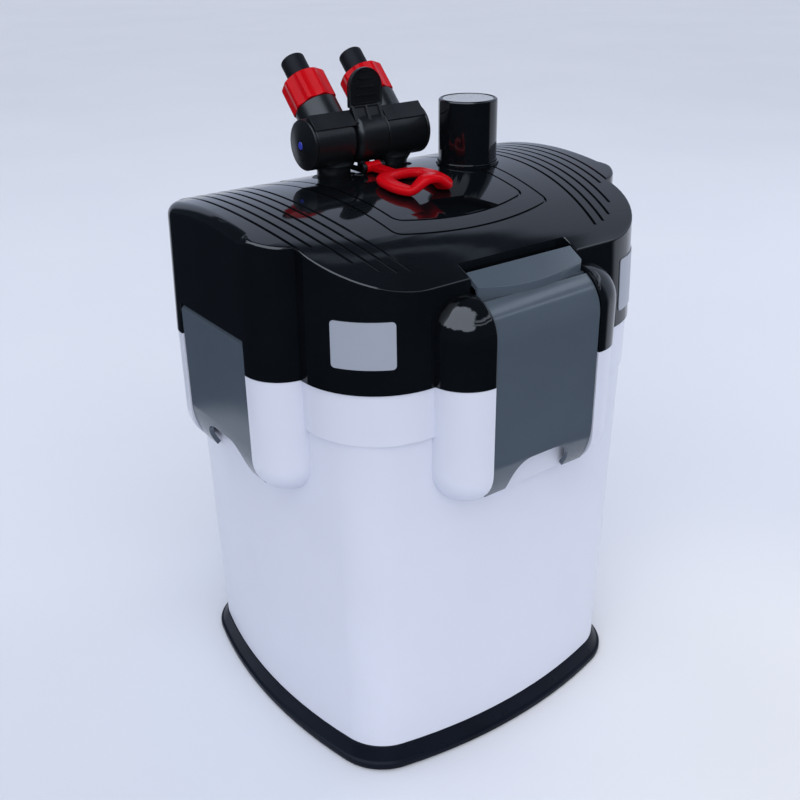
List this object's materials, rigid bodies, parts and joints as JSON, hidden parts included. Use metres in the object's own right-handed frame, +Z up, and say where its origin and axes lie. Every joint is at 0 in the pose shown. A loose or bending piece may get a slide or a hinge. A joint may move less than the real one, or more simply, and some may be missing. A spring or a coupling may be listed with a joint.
{
  "type": "canister filter",
  "caption": "Squarish canister filter with a clipped-on motor head, twin-tap hose block with red nuts, priming plunger and media baskets.",
  "frame": {"origin": "on the floor under the middle of the bucket", "axes": "+Z up; -Y towards the clip that faces the deck's finger scoop, +X to the right of it, so the primer is on the +X side and the hose tails lean back to +Y"},
  "size_m": [0.28, 0.28, 0.4229],
  "materials": {
    "white_body": "semi-gloss white with a faint lilac cast",
    "foot_rubber": "dark blue-black satin",
    "soft_rubber": "matt black rubber",
    "gloss_black": "mirror-gloss black",
    "inner_black": "plain moulded black",
    "inner_grey": "plain moulded grey",
    "seal_rubber": "smooth greased rubber",
    "screw_steel": "bright steel",
    "clip_grey": "satin blue-grey",
    "tap_black": "fine satin black",
    "mark_blue": "blue",
    "mark_red": "red",
    "ball_white": "smooth white",
    "red_plastic": "glossy red",
    "tail_black": "satin black",
    "pale_disc": "pale grey-blue",
    "core_iron": "stacked sheet iron",
    "coil_copper": "enamelled winding",
    "magnet_dark": "dark ferrite",
    "lamp_glass": "clear quartz glass",
    "basket_grey": "dark moulded grey",
    "sponge_blue": "open blue foam",
    "ring_ceramic": "unglazed ceramic",
    "floss_white": "white fibre floss",
    "label_pale": "blank printed-label film"
  },
  "bodies": {
    "housing": {"canister": "white_body", "channel_cheeks": "white_body", "foot_band": "foot_rubber", "foot_pads": "soft_rubber", "head_cover": "gloss_black", "head_plate": "inner_black", "head_seal": "seal_rubber", "plate_screws": "screw_steel", "clip_pins": "screw_steel", "port_sockets": "inner_black", "tap_body": "tap_black", "tap_stub_seals": "seal_rubber", "tap_cap_left": "tap_black", "tap_cap_right": "tap_black", "flow_mark_left": "mark_blue", "flow_mark_right": "mark_red", "hose_tail_left": "tail_black", "hose_tail_right": "tail_black", "lock_pin": "screw_steel", "primer_barrel": "inner_grey", "primer_bezel": "gloss_black", "primer_spring": "screw_steel", "motor_can": "inner_black", "motor_core": "core_iron", "motor_coils": "coil_copper", "rotor_shaft": "ball_white", "shaft_bushes": "soft_rubber", "pump_volute": "inner_black", "lamp_sleeve": "lamp_glass", "lamp_tube": "lamp_glass", "lamp_socket": "ball_white", "intake_tube": "inner_black", "basket_low": "basket_grey", "basket_middle": "basket_grey", "basket_top": "basket_grey", "media_sponge": "sponge_blue", "media_rings": "ring_ceramic", "media_floss": "floss_white", "cord_gland": "soft_rubber", "label_plate_left": "label_pale", "label_plate_right": "label_pale"},
    "clip_front": {"clip_front": "clip_grey"},
    "clip_back": {"clip_back": "clip_grey"},
    "clip_left": {"clip_left": "clip_grey"},
    "clip_right": {"clip_right": "clip_grey"},
    "valve_lever": {"valve_lever": "tap_black", "valve_ball_left": "ball_white", "valve_ball_right": "ball_white"},
    "union_nut_left": {"union_nut_left": "red_plastic"},
    "union_nut_right": {"union_nut_right": "red_plastic"},
    "lock_ring": {"lock_ring": "red_plastic"},
    "primer_plunger": {"primer_plunger": "gloss_black", "primer_disc": "pale_disc", "primer_piston_seal": "seal_rubber"},
    "impeller": {"impeller": "ball_white", "rotor_magnet": "magnet_dark"}
  },
  "joints": [
    {"name": "front_clip_swing", "type": "hinge", "parent": "housing", "child": "clip_front", "pos_m": [0, -0.122, 0.31], "axis": [-1, 0, 0], "range_deg": [0, 75]},
    {"name": "back_clip_swing", "type": "hinge", "parent": "housing", "child": "clip_back", "pos_m": [0, 0.122, 0.31], "axis": [1, 0, 0], "range_deg": [0, 75]},
    {"name": "left_clip_swing", "type": "hinge", "parent": "housing", "child": "clip_left", "pos_m": [-0.133, 0, 0.283], "axis": [0, 1, 0], "range_deg": [0, 75]},
    {"name": "right_clip_swing", "type": "hinge", "parent": "housing", "child": "clip_right", "pos_m": [0.133, 0, 0.283], "axis": [0, -1, 0], "range_deg": [0, 75]},
    {"name": "tap_lever_turn", "type": "hinge", "parent": "housing", "child": "valve_lever", "pos_m": [-0.0053, 0.034, 0.3735], "axis": [-1, 0, 0], "range_deg": [-90, 0]},
    {"name": "left_nut_turn", "type": "hinge", "parent": "housing", "child": "union_nut_left", "pos_m": [-0.02755, 0.05875, 0.39825], "axis": [0, 0.7071, 0.7071], "continuous": true},
    {"name": "right_nut_turn", "type": "hinge", "parent": "housing", "child": "union_nut_right", "pos_m": [0.01695, 0.05875, 0.39825], "axis": [0, 0.7071, 0.7071], "continuous": true},
    {"name": "lock_ring_lift", "type": "hinge", "parent": "housing", "child": "lock_ring", "pos_m": [-0.0078, 0.0192, 0.357], "axis": [-1, 0, 0], "range_deg": [0, 60]},
    {"name": "primer_press", "type": "slide", "parent": "housing", "child": "primer_plunger", "axis": [0, 0, 1], "range_m": [-0.03, 0], "stiffness_N_per_m": 150, "springref_m": 0.006, "deforming": ["primer_spring"]},
    {"name": "impeller_spin", "type": "hinge", "parent": "housing", "child": "impeller", "pos_m": [0.002, -0.035, 0.28], "axis": [0, 0, 1], "continuous": true}
  ]
}
